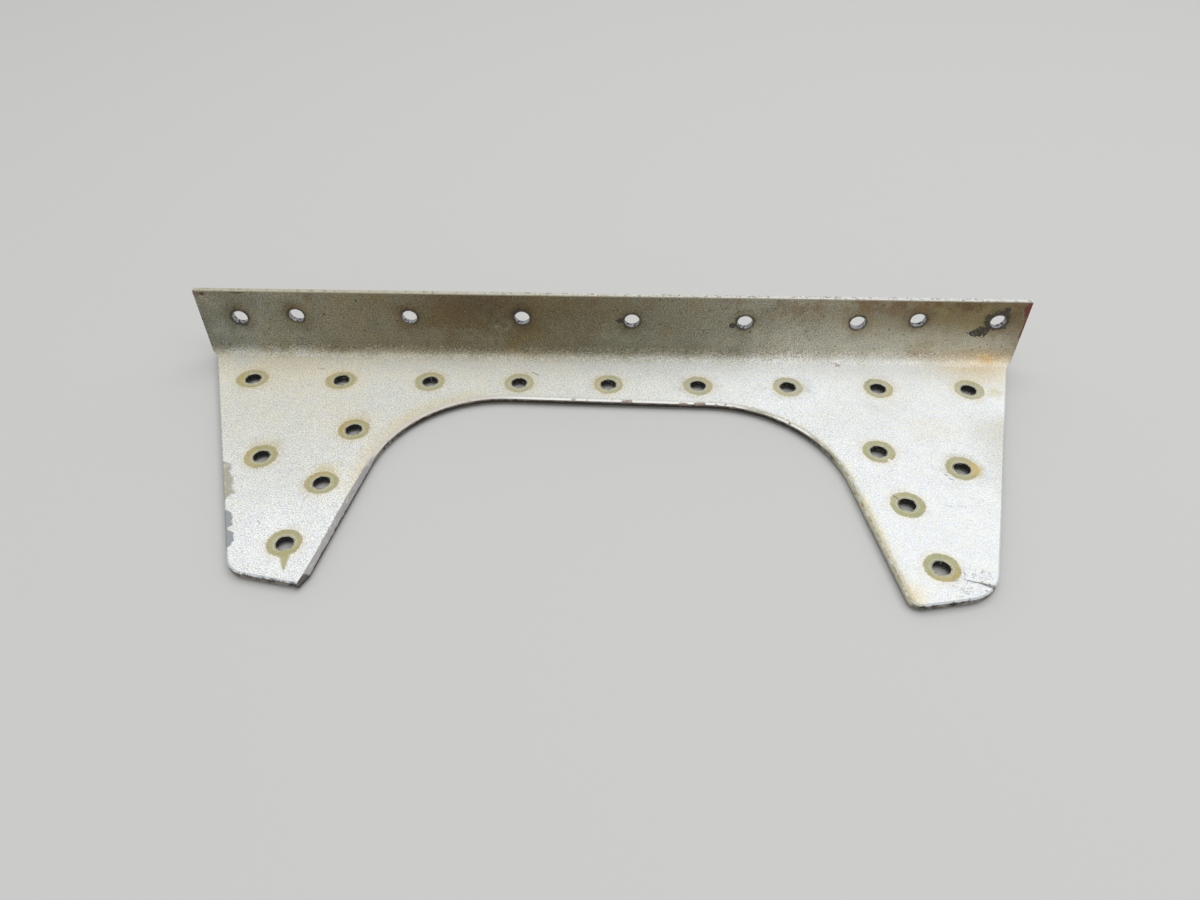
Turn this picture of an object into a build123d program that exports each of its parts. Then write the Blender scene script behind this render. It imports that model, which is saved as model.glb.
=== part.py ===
from build123d import *
from math import cos, pi, radians, sin, tan
import os

# Bulkhead stiffener: one aluminium sheet, cut to a web with two legs and an arched opening, and bent up
# along its back edge into a flange, with rivet holes in both. Millimetres.
# The origin is the middle hole of the web's rivet row, on the web's underside. X runs along the row, Y
# points from the row to the flange, and Z points up, so the underside of the web lies on Z = 0.

# Sheet
sheet = 1.27
bend_inside_radius = 2.5
edge_break = 0.3
flange_edge_break = 0.15

# Rivet holes, one drill size throughout, and the row of them along the web
rivet_hole_diameter = 3.26
row_pitch = 19.05
row_count = 9

# Flange: its full height, and the row's distance from its inner face
flange_height = 16.8
row_to_flange = 10.0

# Outer edges of the web: past the last hole of the row, and tapered from square
left_row_margin = 7.63
right_row_margin = 7.98
left_taper = 19.5
right_taper = 17.3

# Legs: how far the outer end of the tip is in front of the row, how much further the right leg reaches, the
# tip's width, and the inner edge's splay. The tip is cut square to the inner edge.
leg_reach = 52.2
right_leg_extra = 2.15
left_tip_width = 14.0
right_tip_width = 15.4
left_leg_splay = 10.9
right_leg_splay = 10.4
left_outer_corner_radius = 4.9
right_outer_corner_radius = 8.0
right_inner_corner_radius = 2.4
left_corner_cut_length = 2.9
left_corner_cut_width = 0.75

# Arched opening between the legs: its crown, which is not quite level, and its corner arcs
row_to_crown = 5.3
crown_tilt = 1.3
left_arch_radius = 25.0
right_arch_radius = 26.5

# Filed bevel on the left leg's inner edge, widest at the tip
bevel_length = 30.0
bevel_width = 0.85
bevel_depth = 0.6

# Leg holes: three in line along the inner edge, by their distance up from the tip, and one by the outer
# edge, by its distance down that edge from the row
left_line_inset = 7.0
right_line_inset = 8.25
left_line_heights = [7.9, 23.4, 38.7]
right_line_heights = [7.2, 22.4, 36.9]
left_side_inset = 7.4
right_side_inset = 7.6
left_side_drop = 27.8
right_side_drop = 27.3

# Flange holes, hand drilled: the distance from the nearer end, and below the upper edge
left_flange_holes = [(8.5, 6.7), (20.9, 6.0), (45.3, 6.0), (69.5, 5.8)]
right_flange_holes = [(5.85, 5.0), (22.7, 4.9), (35.25, 5.8), (59.15, 6.1), (83.25, 6.1)]

# What follows from the sizes above
half_row = row_pitch * (row_count - 1) / 2
bend_start = row_to_flange - bend_inside_radius
bend_stretch = (bend_inside_radius + sheet / 2) * pi / 2
flange_back = row_to_flange + sheet


class Flank:
    """One side of the web's outline, seen from above. hand is -1 on the left and 1 on the right."""

    def __init__(self, hand, row_margin, taper, leg_reach, tip_width, splay):
        self.row_end = Vector(hand * (half_row + row_margin), 0)

        # Unit steps: up the outer edge, inwards from it, down the leg's inner edge, and across the tip
        self.up_edge = Vector(hand * sin(radians(taper)), cos(radians(taper)))
        self.in_from_edge = Vector(-hand * cos(radians(taper)), sin(radians(taper)))
        self.down_leg = Vector(hand * sin(radians(splay)), -cos(radians(splay)))
        self.across_tip = Vector(hand * cos(radians(splay)), sin(radians(splay)))

        # The tip starts on the outer edge, and the inner edge runs up from it to the crown
        self.outer_tip = self.row_end - self.up_edge * (leg_reach / cos(radians(taper)))
        self.inner_tip = self.outer_tip - self.across_tip * tip_width
        below_crown = -row_to_crown - self.inner_tip.X * tan(radians(crown_tilt)) - self.inner_tip.Y
        steepness = cos(radians(splay)) - hand * sin(radians(splay)) * tan(radians(crown_tilt))
        self.crown_corner = self.inner_tip - self.down_leg * (below_crown / steepness)

        # The blank's straight edge runs on through the bend, and the flange is cut off square
        self.bend_corner = self.row_end + self.up_edge * (bend_start / cos(radians(taper)))
        flange_end = self.row_end.X + hand * tan(radians(taper)) * (bend_start + bend_stretch)
        self.flange_corner = Vector(flange_end, row_to_flange)
        self.flange_back_corner = Vector(flange_end, flange_back)

    def leg_holes(self, line_inset, line_heights, side_inset, side_drop):
        """Places of the leg's rivet holes: the line along the inner edge, and the one by the outer edge."""
        line_foot = self.inner_tip + self.across_tip * line_inset
        line = [line_foot - self.down_leg * height for height in line_heights]
        return line + [self.row_end - self.up_edge * side_drop + self.in_from_edge * side_inset]


left = Flank(-1, left_row_margin, left_taper, leg_reach, left_tip_width, left_leg_splay)
right = Flank(1, right_row_margin, right_taper, leg_reach + right_leg_extra, right_tip_width, right_leg_splay)

# The left leg's inner corner is cut off by a short straight
cut_on_leg = left.inner_tip - left.down_leg * left_corner_cut_length
cut_on_tip = left.inner_tip + left.across_tip * left_corner_cut_width

front = min(left.inner_tip.Y, right.inner_tip.Y)

leg_holes = left.leg_holes(left_line_inset, left_line_heights, left_side_inset, left_side_drop)
leg_holes += right.leg_holes(right_line_inset, right_line_heights, right_side_inset, right_side_drop)

# Flange holes by their place along X and their height
left_end = left.flange_corner.X
right_end = right.flange_corner.X
flange_holes = [(left_end + along, flange_height - below) for along, below in left_flange_holes]
flange_holes += [(right_end - along, flange_height - below) for along, below in right_flange_holes]
half_length = max(-left_end, right_end)

with BuildPart() as stiffener:
    # The folded section: the sheet's outer face, thickened inwards
    with BuildSketch(Plane.YZ):
        with BuildLine():
            FilletPolyline(
                (front, 0),
                (flange_back, 0),
                (flange_back, flange_height),
                radius=bend_inside_radius + sheet,
            )
            offset(amount=sheet, side=Side.LEFT)
        make_face()
    extrude(amount=half_length, both=True)

    # The outline, cut straight down through the sheet
    with BuildSketch() as outline:
        with BuildLine():
            Polyline(left.bend_corner, left.outer_tip, cut_on_tip, cut_on_leg, left.crown_corner)
            Polyline(left.crown_corner, right.crown_corner, right.inner_tip)
            Polyline(right.inner_tip, right.outer_tip, right.bend_corner)
            for flank in (left, right):
                TangentArc(flank.bend_corner, flank.flange_corner, tangent=flank.up_edge)
                Line(flank.flange_corner, flank.flange_back_corner)
            Line(left.flange_back_corner, right.flange_back_corner)
        make_face()
        for corner, radius in (
            (left.crown_corner, left_arch_radius),
            (right.crown_corner, right_arch_radius),
            (left.outer_tip, left_outer_corner_radius),
            (right.outer_tip, right_outer_corner_radius),
            (right.inner_tip, right_inner_corner_radius),
        ):
            fillet(outline.vertices().sort_by_distance(corner)[0], radius)
    extrude(amount=flange_height, mode=Mode.INTERSECT)

    # The web's upper edges and the flange's upper edges are broken
    web_top = stiffener.faces().filter_by(Axis.Z).group_by(Axis.Z)[1][0]
    web_rim = web_top.edges().sort_by(Axis.Y)[:-1]
    flange_rim = stiffener.edges().filter_by(Axis.X).group_by(Axis.Z)[-1]
    chamfer(web_rim, edge_break)
    chamfer(flange_rim, flange_edge_break)

    # The filed bevel: a wedge that starts at nothing and is widest at the tip
    tip_face = Plane(left.inner_tip + Vector(0, 0, sheet), x_dir=left.across_tip, z_dir=left.down_leg)
    depth_step = -bevel_depth if tip_face.y_dir.Z > 0 else bevel_depth
    with BuildSketch(tip_face) as bevel_end:
        with BuildLine():
            Polyline((0, 0), (bevel_width, 0), (0, depth_step), close=True)
        make_face()
    bevel_start = Vertex(*(left.inner_tip - left.down_leg * bevel_length + Vector(0, 0, sheet)))
    loft([bevel_start, bevel_end.sketch], mode=Mode.SUBTRACT)

    # Rivet holes: the row, the legs and the flange
    with BuildSketch(Plane.XY.offset(sheet)):
        with GridLocations(row_pitch, 0, row_count, 1):
            Circle(rivet_hole_diameter / 2)
        with Locations(*leg_holes):
            Circle(rivet_hole_diameter / 2)
    extrude(amount=-sheet, mode=Mode.SUBTRACT)
    with BuildSketch(Plane(origin=(0, row_to_flange, 0), x_dir=(1, 0, 0), z_dir=(0, -1, 0))):
        with Locations(*flange_holes):
            Circle(rivet_hole_diameter / 2)
    extrude(amount=-sheet, mode=Mode.SUBTRACT)

stiffener.part.label = "bulkhead_stiffener"

os.makedirs("parts", exist_ok=True)
export_step(stiffener.part, "parts/bulkhead_stiffener.step")
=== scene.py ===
"""Looks of the bulkhead stiffener: one folded aluminium sheet in aged silver paint, with stained holes."""
import logging
from collections.abc import Iterable
from dataclasses import dataclass
from enum import Enum
from functools import reduce
from math import cos, hypot, pi, radians, sin
from operator import and_, or_
from random import Random

import bmesh
import bpy
from mathutils import Matrix, Vector


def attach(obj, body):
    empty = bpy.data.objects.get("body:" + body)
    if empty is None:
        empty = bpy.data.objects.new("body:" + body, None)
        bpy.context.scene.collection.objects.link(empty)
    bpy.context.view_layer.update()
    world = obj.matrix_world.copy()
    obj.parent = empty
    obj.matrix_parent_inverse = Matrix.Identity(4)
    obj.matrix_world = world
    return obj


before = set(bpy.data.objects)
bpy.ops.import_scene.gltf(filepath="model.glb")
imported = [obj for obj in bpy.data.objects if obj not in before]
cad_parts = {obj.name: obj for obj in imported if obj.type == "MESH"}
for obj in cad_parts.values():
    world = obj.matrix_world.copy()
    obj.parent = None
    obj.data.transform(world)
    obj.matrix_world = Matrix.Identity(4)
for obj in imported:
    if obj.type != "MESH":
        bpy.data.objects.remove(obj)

LOG = logging.getLogger("bulkhead_stiffener")
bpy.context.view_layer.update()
SHEET_NODE = "bulkhead_stiffener"
SHEET_BODY = "root"
MM = 0.001


@dataclass(frozen=True)
class Tint:
    """A colour by its red, green and blue parts as they are seen, from 0 to 1."""

    red: float
    green: float
    blue: float

    def linear(self) -> tuple[float, float, float, float]:
        """The colour as light.

        Returns:
            Its red, green and blue parts, and full alpha.
        """
        parts = (self.red, self.green, self.blue)
        light = [c / 12.92 if c <= 0.04045 else ((c + 0.055) / 1.055) ** 2.4 for c in parts]
        return (light[0], light[1], light[2], 1.0)


class Wire:
    """A value that runs along a material's nodes. Plain arithmetic on it adds Math nodes."""

    def __init__(self, graph: "NodeGraph", socket: bpy.types.NodeSocket) -> None:
        """Wraps one output socket.

        Args:
            graph: the node graph that the socket belongs to.
            socket: the output socket.
        """
        self.graph = graph
        self.socket = socket

    def __add__(self, other: "Wire | float") -> "Wire":
        """The sum."""
        return self.graph.math("ADD", self, other)

    __radd__ = __add__

    def __sub__(self, other: "Wire | float") -> "Wire":
        """The difference."""
        return self.graph.math("SUBTRACT", self, other)

    def __rsub__(self, other: float) -> "Wire":
        """The difference, taken from a number."""
        return self.graph.math("SUBTRACT", other, self)

    def __mul__(self, other: "Wire | float") -> "Wire":
        """The product."""
        return self.graph.math("MULTIPLY", self, other)

    __rmul__ = __mul__

    def __truediv__(self, other: "Wire | float") -> "Wire":
        """The quotient."""
        return self.graph.math("DIVIDE", self, other)

    def __abs__(self) -> "Wire":
        """The size without its sign."""
        return self.graph.math("ABSOLUTE", self)

    def __or__(self, other: "Wire | float") -> "Wire":
        """The larger value: where either mask is."""
        return self.graph.math("MAXIMUM", self, other)

    def __and__(self, other: "Wire | float") -> "Wire":
        """The smaller value: where both masks are."""
        return self.graph.math("MINIMUM", self, other)

    def rise(self, start: float, end: float) -> "Wire":
        """A soft step from 0 at start to 1 at end, which falls where end is below start."""
        return self.graph.soft_step(self, start, end)


Value = Wire | Tint | float | tuple
Spot = tuple[float, float, float]


def anywhere(masks: Iterable[Wire]) -> Wire:
    """Where any of the masks is."""
    return reduce(or_, masks)


class Blend(Enum):
    """How one colour goes over another."""

    COVER = "MIX"
    STAIN = "MULTIPLY"


class NodeGraph:
    """The nodes of one material."""

    def __init__(self, name: str) -> None:
        """Starts an empty material.

        Args:
            name: the material's name.
        """
        self.material = bpy.data.materials.new(name)
        self.material.use_nodes = True
        self.tree = self.material.node_tree
        self.tree.nodes.clear()

    def add(self, kind: str, settings: dict, inputs: dict) -> bpy.types.Node:
        """Adds a node.

        Args:
            kind: the node's type.
            settings: its own settings, set first.
            inputs: values or wires by the name or number of the socket.

        Returns:
            The node.
        """
        node = self.tree.nodes.new(kind)
        for name, value in settings.items():
            setattr(node, name, value)
        for key, value in inputs.items():
            if isinstance(value, Wire):
                self.tree.links.new(value.socket, node.inputs[key])
            else:
                node.inputs[key].default_value = value.linear() if isinstance(value, Tint) else value
        return node

    def wire(self, kind: str, settings: dict, inputs: dict, output: int | str = 0) -> Wire:
        """Adds a node and takes a wire from one of its outputs."""
        return Wire(self, self.add(kind, settings, inputs).outputs[output])

    def math(self, operation: str, *values: Wire | float) -> Wire:
        """A Math node on one or two values."""
        return self.wire("ShaderNodeMath", {"operation": operation}, dict(enumerate(values)))

    def vector(self, operation: str, *values: Wire | tuple, output: int | str = 0) -> Wire:
        """A Vector Math node on one or two vectors."""
        return self.wire("ShaderNodeVectorMath", {"operation": operation}, dict(enumerate(values)), output)

    def dot(self, first: Wire | tuple, second: Wire | tuple) -> Wire:
        """The dot product of two vectors."""
        return self.vector("DOT_PRODUCT", first, second, output=1)

    def scaled(self, vector: Wire | tuple, factor: Wire | float) -> Wire:
        """The vector made longer by a factor."""
        return self.wire("ShaderNodeVectorMath", {"operation": "SCALE"}, {0: vector, "Scale": factor})

    def place(self) -> Wire:
        """The shaded point on the object, in millimetres."""
        return self.scaled(self.wire("ShaderNodeTexCoord", {}, {}, "Object"), 1.0 / MM)

    def join(self, x: Wire | float, y: Wire | float, z: Wire | float) -> Wire:
        """A vector from its three parts."""
        return self.wire("ShaderNodeCombineXYZ", {}, {0: x, 1: y, 2: z})

    def colour(self, red: Wire | float, green: Wire | float, blue: Wire | float) -> Wire:
        """A colour from its three parts."""
        return self.wire("ShaderNodeCombineColor", {"mode": "RGB"}, {0: red, 1: green, 2: blue})

    def split(self, vector: Wire) -> list[Wire]:
        """The three parts of a vector."""
        return [Wire(self, part) for part in self.add("ShaderNodeSeparateXYZ", {}, {0: vector}).outputs]

    def soft_step(self, value: Wire, start: float, end: float) -> Wire:
        """A smooth step.

        Args:
            value: what it is a step of.
            start: the value up to which it is 0.
            end: the value from which it is 1. It falls where end is below start.

        Returns:
            The step, from 0 to 1.
        """
        low, high = sorted((start, end))
        ends = {"To Min": float(end < start), "To Max": float(start < end)}
        inputs = {"Value": value, "From Min": low, "From Max": high} | ends
        # A smooth step stays between its ends by itself, and a clamp would only add a node.
        settings = {"interpolation_type": "SMOOTHSTEP", "clamp": False}
        return self.wire("ShaderNodeMapRange", settings, inputs)

    def mix(self, factor: Wire | float, base: Value, top: Value, blend: Blend = Blend.COVER) -> Wire:
        """One colour over another.

        Args:
            factor: how much of the top colour shows.
            base: the colour below.
            top: the colour above.
            blend: the way the two are blended.

        Returns:
            The blended colour.
        """
        settings = {"data_type": "RGBA", "blend_type": blend.value, "clamp_factor": True}
        return self.wire("ShaderNodeMix", settings, {0: factor, 6: base, 7: top}, 2)

    def fade(self, factor: Wire | float, base: Wire | float, top: Wire | float) -> Wire:
        """One number over another, by a factor from 0 to 1."""
        return self.wire("ShaderNodeMix", {"data_type": "FLOAT"}, {0: factor, 2: base, 3: top})

    def noise(self, place: Wire, size: float, detail: float = 2.0, roughness: float = 0.5) -> Wire:
        """Cloudy noise about 0.

        Args:
            place: the point, in millimetres.
            size: the size of its lumps, in millimetres.
            detail: how many finer layers it has.
            roughness: how strong the finer layers are.

        Returns:
            The noise, mostly between -0.2 and 0.2.
        """
        inputs = {"Vector": place, "Scale": 1.0 / size, "Detail": detail, "Roughness": roughness}
        return self.wire("ShaderNodeTexNoise", {"noise_dimensions": "3D"}, inputs) - 0.5

    def cells(self, place: Wire, size: float) -> Wire:
        """A value from -0.5 to 0.5 that is even within each small cell."""
        colour = self.wire("ShaderNodeTexVoronoi", {}, {"Vector": place, "Scale": 1.0 / size}, "Color")
        return self.split(colour)[0] - 0.5

    def bump(self, height: Wire) -> Wire:
        """The normal that a relief gives, by its height in millimetres."""
        return self.wire("ShaderNodeBump", {}, {"Strength": 1.0, "Distance": MM, "Height": height})

    def surface(self, inputs: dict) -> bpy.types.Material:
        """Ends the graph in a Principled shader.

        Args:
            inputs: the shader's values or wires.

        Returns:
            The material.
        """
        shader = self.wire("ShaderNodeBsdfPrincipled", {}, inputs)
        self.add("ShaderNodeOutputMaterial", {}, {"Surface": shader})
        return self.material


@dataclass(frozen=True)
class Edge:
    """A straight edge of the web, in millimetres: a point on it, and the turn from +X into the metal."""

    point: tuple[float, float]
    inward: float

    @property
    def step_in(self) -> Vector:
        """The unit step from the edge into the metal."""
        return Vector((cos(radians(self.inward)), sin(radians(self.inward)), 0.0))


@dataclass(frozen=True)
class Arc:
    """A round corner of the arch, in millimetres, between a leg's inner edge and the crown."""

    corner: Vector
    down_leg: Vector
    along_crown: Vector
    radius: float

    @property
    def centre(self) -> Vector:
        """The centre of its arc.

        Returns:
            The centre, inside the opening.
        """
        half_angle = self.down_leg.angle(self.along_crown) / 2
        step_out = (self.down_leg + self.along_crown).normalized()
        return self.corner + step_out * (self.radius / sin(half_angle))


@dataclass(frozen=True)
class Blank:
    """The sheet's outline, in millimetres and degrees, from the middle hole of the rivet row."""

    sheet: float = 1.27
    bend_start: float = 7.5
    flange_face: float = 10.0
    flange_foot: float = 3.77
    flange_top: float = 16.8
    left_end: float = -88.23
    right_end: float = 88.05
    left_edge: Edge = Edge((-83.83, 0.0), 19.5)
    left_tip: Edge = Edge((-51.6, -54.85), 79.1)
    right_tip: Edge = Edge((52.1, -57.13), 100.4)
    left_leg: Edge = Edge((-51.6, -54.85), 169.1)
    right_leg: Edge = Edge((52.1, -57.13), 10.4)
    crown: Edge = Edge((0.0, -5.3), 88.7)
    left_corner: Spot = (-41.87, -4.35, 0.0)
    right_corner: Spot = (42.77, -6.27, 0.0)
    left_radius: float = 25.0
    right_radius: float = 26.5

    def arcs(self) -> list[Arc]:
        """The round corners of the arch.

        Returns:
            The left one and the right one.
        """
        level = Vector((self.crown.step_in.y, -self.crown.step_in.x, 0.0))
        left = Arc(Vector(self.left_corner), -self.left_tip.step_in, level, self.left_radius)
        right = Arc(Vector(self.right_corner), -self.right_tip.step_in, -level, self.right_radius)
        return [left, right]


BLANK = Blank()


@dataclass(frozen=True)
class Hole:
    """A rivet hole in the sheet, in millimetres."""

    centre: Vector
    radius: float
    in_flange: bool

    @property
    def flat(self) -> Spot:
        """Its centre within its own wall of the sheet, the web or the flange."""
        x, y, z = self.centre
        return (x, 0.0, z) if self.in_flange else (x, y, 0.0)


def place_piece(name: str, mesh: bmesh.types.BMesh) -> bpy.types.Object:
    """Turns a finished mesh into a piece of the scene.

    Args:
        name: the piece's name.
        mesh: its mesh, which is freed.

    Returns:
        The piece, at the origin.
    """
    data = bpy.data.meshes.new(name)
    mesh.to_mesh(data)
    mesh.free()
    piece = bpy.data.objects.new(name, data)
    bpy.context.scene.collection.objects.link(piece)
    return piece


class HoleFinder:
    """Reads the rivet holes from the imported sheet's mesh. Sizes are in millimetres."""

    LARGEST = 5.0
    SMALLEST = 1.0
    UPRIGHT = 0.2
    TOUCHING = 0.001

    def __init__(self, node: bpy.types.Object) -> None:
        """Copies the mesh and merges its loose triangles.

        Args:
            node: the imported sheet.
        """
        self.mesh = bmesh.new()
        self.mesh.from_mesh(node.data)
        bmesh.ops.remove_doubles(self.mesh, verts=self.mesh.verts, dist=self.TOUCHING * MM)

    def is_wall(self, face: bmesh.types.BMFace) -> bool:
        """Whether a face stands across the sheet, as a cut edge or a hole's wall does.

        Args:
            face: a face of the merged mesh.

        Returns:
            True for a wall.
        """
        middle = face.calc_center_median() / MM
        if middle.z > BLANK.flange_foot:
            return abs(face.normal.y) < self.UPRIGHT
        return middle.y < BLANK.bend_start and abs(face.normal.z) < self.UPRIGHT

    def islands(self) -> list[list[Vector]]:
        """The groups of joined wall faces.

        Returns:
            Each group's corner points, in millimetres.
        """
        seen: set[bmesh.types.BMFace] = set()
        groups = []
        for start in self.mesh.faces:
            if start in seen or not self.is_wall(start):
                continue
            seen.add(start)
            waiting, corners = [start], set()
            while waiting:
                face = waiting.pop()
                corners.update(face.verts)
                for other in (near for edge in face.edges for near in edge.link_faces):
                    if other not in seen and self.is_wall(other):
                        seen.add(other)
                        waiting.append(other)
            groups.append([corner.co / MM for corner in corners])
        return groups

    def find(self) -> list[Hole]:
        """Every rivet hole, from left to right.

        Returns:
            The holes in the web and in the flange.
        """
        holes = []
        for points in self.islands():
            low = Vector([min(point[i] for point in points) for i in range(3)])
            high = Vector([max(point[i] for point in points) for i in range(3)])
            width = high.x - low.x
            if self.SMALLEST < width < self.LARGEST:
                holes.append(Hole((low + high) / 2, width / 2, high.z > BLANK.flange_foot))
        self.mesh.free()
        return sorted(holes, key=lambda hole: hole.centre.x)


class Wall(Enum):
    """What a patch is measured on: the flat web, the flat flange, or the whole folded sheet."""

    WEB = "web"
    FLANGE = "flange"
    FOLDED = "folded"


@dataclass(frozen=True)
class Patch:
    """A soft oval patch, in millimetres: its middle, its half sizes along the axes, and its strength."""

    wall: Wall
    middle: Spot
    reach: Spot
    strength: float = 1.0


@dataclass(frozen=True)
class Stroke:
    """A straight stroke on the web, in millimetres: its ends, its half widths there, and its strength."""

    start: tuple[float, float]
    end: tuple[float, float]
    widths: tuple[float, float]
    strength: float


@dataclass(frozen=True)
class Ramp:
    """A soft step of a value, from nothing at start to its full strength at end."""

    start: float
    end: float
    strength: float = 1.0

    def of(self, value: Wire) -> Wire:
        """The step on a value."""
        step = value.rise(self.start, self.end)
        return step if self.strength == 1.0 else step * self.strength


class SheetPlaces:
    """Where a shaded point lies on the sheet: distances in millimetres, and masks from 0 to 1."""

    WEB_SIDE = Ramp(BLANK.bend_start + 0.4, BLANK.bend_start + 0.1)
    FLANGE_SIDE = Ramp(BLANK.flange_foot - 0.3, BLANK.flange_foot)
    UPPER_EDGE = Ramp(BLANK.flange_top - 0.5, BLANK.flange_top - 0.3)
    ABOVE_UNDERSIDE = Ramp(0.3, 0.6)
    WEB_CUT = Ramp(0.35, 0.25)
    FLANGE_CUT = Ramp(0.75, 0.65)
    BEND_CUT = Ramp(0.8, 0.9)
    SLANTED = Ramp(0.3, 0.4)
    NOT_LEVEL = Ramp(0.98, 0.94)
    TURNED = Ramp(0.3, 0.5)
    INWARD = Ramp(0.5, 0.7)
    OUTWARD = Ramp(-0.5, -0.7)
    BY_ARC = Ramp(0.0, 0.01)
    STROKE_SIDE = Ramp(1.0, 0.4)

    def __init__(self, graph: NodeGraph, holes: list[Hole]) -> None:
        """Adds the nodes that read the point's place and which way it faces.

        Args:
            graph: the material's nodes.
            holes: the sheet's rivet holes.
        """
        self.graph = graph
        self.web_holes = [hole for hole in holes if not hole.in_flange]
        self.flange_holes = [hole for hole in holes if hole.in_flange]
        self.point = graph.place()
        self.x, self.y, self.z = graph.split(self.point)
        self.on_web = graph.join(self.x, self.y, 0.0)
        self.on_flange = graph.join(self.x, 0.0, self.z)
        self.on_wall = {Wall.WEB: self.on_web, Wall.FLANGE: self.on_flange, Wall.FOLDED: self.point}
        self.fold = self.y + self.z
        self.broad = graph.noise(self.point, size=24.0, detail=2.0, roughness=0.55)
        self.clouds = graph.noise(self.point, size=8.5, detail=3.0, roughness=0.6)
        self.mottle = graph.noise(self.point, size=3.0, detail=2.0, roughness=0.6)
        self.ragged = graph.noise(self.point, size=1.3, detail=3.0, roughness=0.65)
        self.fine = graph.noise(self.point, size=0.5, detail=2.0, roughness=0.6)
        self.speckle = graph.noise(self.point, size=0.25, detail=1.0, roughness=0.6)
        self.read_walls()
        self.read_gaps()

    def read_walls(self) -> None:
        """Masks of the sheet's faces, by the way they face."""
        nx, ny, nz = self.graph.split(self.graph.wire("ShaderNodeNewGeometry", {}, {}, "True Normal"))
        self.web = self.WEB_SIDE.of(self.y)
        self.flange = self.FLANGE_SIDE.of(self.z)
        self.web_wall = self.web & self.WEB_CUT.of(abs(nz))
        self.flange_edge = self.UPPER_EDGE.of(self.z) & self.TURNED.of(nz)
        self.flange_wall = self.flange & self.FLANGE_CUT.of(abs(ny)) & (1.0 - self.flange_edge)
        self.top_break = self.flange_edge & self.TURNED.of(abs(ny))
        self.cut = self.web_wall | self.flange_wall | self.BEND_CUT.of(abs(nx))
        slanted = self.SLANTED.of(abs(nz)) & self.NOT_LEVEL.of(abs(nz))
        self.broken = self.web & slanted & self.ABOVE_UNDERSIDE.of(self.z)
        whole = 1.0 - (self.cut | self.flange_edge)
        self.front = self.INWARD.of(nz - ny) & whole
        self.back = self.OUTWARD.of(nz - ny) & whole
        self.web_face = self.front * self.web
        self.flange_face = self.front * self.flange

    def read_gaps(self) -> None:
        """How far the point is from the holes and from the edges."""
        self.web_hole_gap = self.nearest(self.on_web, self.web_holes)
        self.flange_hole_gap = self.nearest(self.on_flange, self.flange_holes)
        self.left_gap = self.inside(BLANK.left_edge)
        self.left_tip_gap = self.inside(BLANK.left_tip)
        self.right_tip_gap = self.inside(BLANK.right_tip)
        self.left_leg_gap = self.inside(BLANK.left_leg)
        self.right_leg_gap = self.inside(BLANK.right_leg)
        self.arch_gap = self.inside(BLANK.crown) | self.left_leg_gap | self.right_leg_gap
        for arc in BLANK.arcs():
            offset = self.graph.vector("SUBTRACT", self.on_web, tuple(arc.centre))
            up_leg = self.graph.dot(offset, tuple(-arc.down_leg))
            off_crown = self.graph.dot(offset, tuple(-arc.along_crown))
            from_arc = self.graph.vector("LENGTH", offset, output=1) - arc.radius
            self.arch_gap = self.graph.fade(self.BY_ARC.of(up_leg & off_crown), self.arch_gap, from_arc)

    def nearest(self, place: Wire, holes: list[Hole]) -> Wire:
        """The distance to the nearest hole's centre."""
        return reduce(and_, [self.distance(place, hole.flat) for hole in holes])

    def inside(self, edge: Edge) -> Wire:
        """The distance from an edge of the web into the metal."""
        step, point = edge.step_in, Vector((*edge.point, 0.0))
        return self.x * step.x + self.y * step.y - point.dot(step)

    def distance(self, place: Wire, centre: Spot) -> Wire:
        """How far a place is from a centre."""
        return self.graph.vector("DISTANCE", place, centre, output=1)

    def drawn_out(self, factors: Spot) -> Wire:
        """The point scaled along its axes, which draws a pattern out."""
        return self.graph.vector("MULTIPLY", self.point, factors)

    def patch(self, patch: Patch, wobble: Wire | float = 0.0) -> Wire:
        """A soft oval patch.

        Args:
            patch: where it is, how large and how strong.
            wobble: a share of its size that roughens its edge.

        Returns:
            Its strength in the middle, falling to 0 at its edge.
        """
        shares = tuple(1.0 / part for part in patch.reach)
        middle = tuple(part * share for part, share in zip(patch.middle, shares))
        away = self.distance(self.graph.vector("MULTIPLY", self.on_wall[patch.wall], shares), middle)
        return Ramp(1.0, 0.0, patch.strength).of(away + wobble)

    def stroke(self, stroke: Stroke) -> Wire:
        """A straight stroke with soft sides.

        Args:
            stroke: its ends, widths and strength.

        Returns:
            Its strength along its middle, falling to 0 at its sides.
        """
        start = Vector((*stroke.start, 0.0))
        run = Vector((*stroke.end, 0.0)) - start
        offset = self.graph.vector("SUBTRACT", self.on_web, tuple(start))
        share = self.graph.dot(offset, tuple(run / run.length_squared))
        share = (share | 0.0) & 1.0
        away = self.graph.vector("DISTANCE", offset, self.graph.scaled(tuple(run), share), output=1)
        first, last = stroke.widths
        return self.STROKE_SIDE.of(away / (share * (last - first) + first)) * stroke.strength


class Sheen(Enum):
    """How rough a finish is, and how much bare metal it shows."""

    DULL = (0.6, 0.0)
    STAIN = (0.58, 0.0)
    OLD_PAINT = (0.55, 0.0)
    MATT = (0.65, 0.0)
    DRY_DIRT = (0.7, 0.0)
    RUBBED = (0.5, 0.1)
    SCRATCHED = (0.5, 0.2)
    RIM_WEAR_AND_HIGHLIGHT = (0.4, 0.05)
    CHIPPED = (0.45, 0.3)
    CUT = (0.6, 0.1)
    FILED = (0.4, 0.15)
    WEB_BORE = (0.45, 0.2)
    FLANGE_BORE = (0.35, 0.3)
    UPPER_EDGE = (0.42, 0.15)


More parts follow.
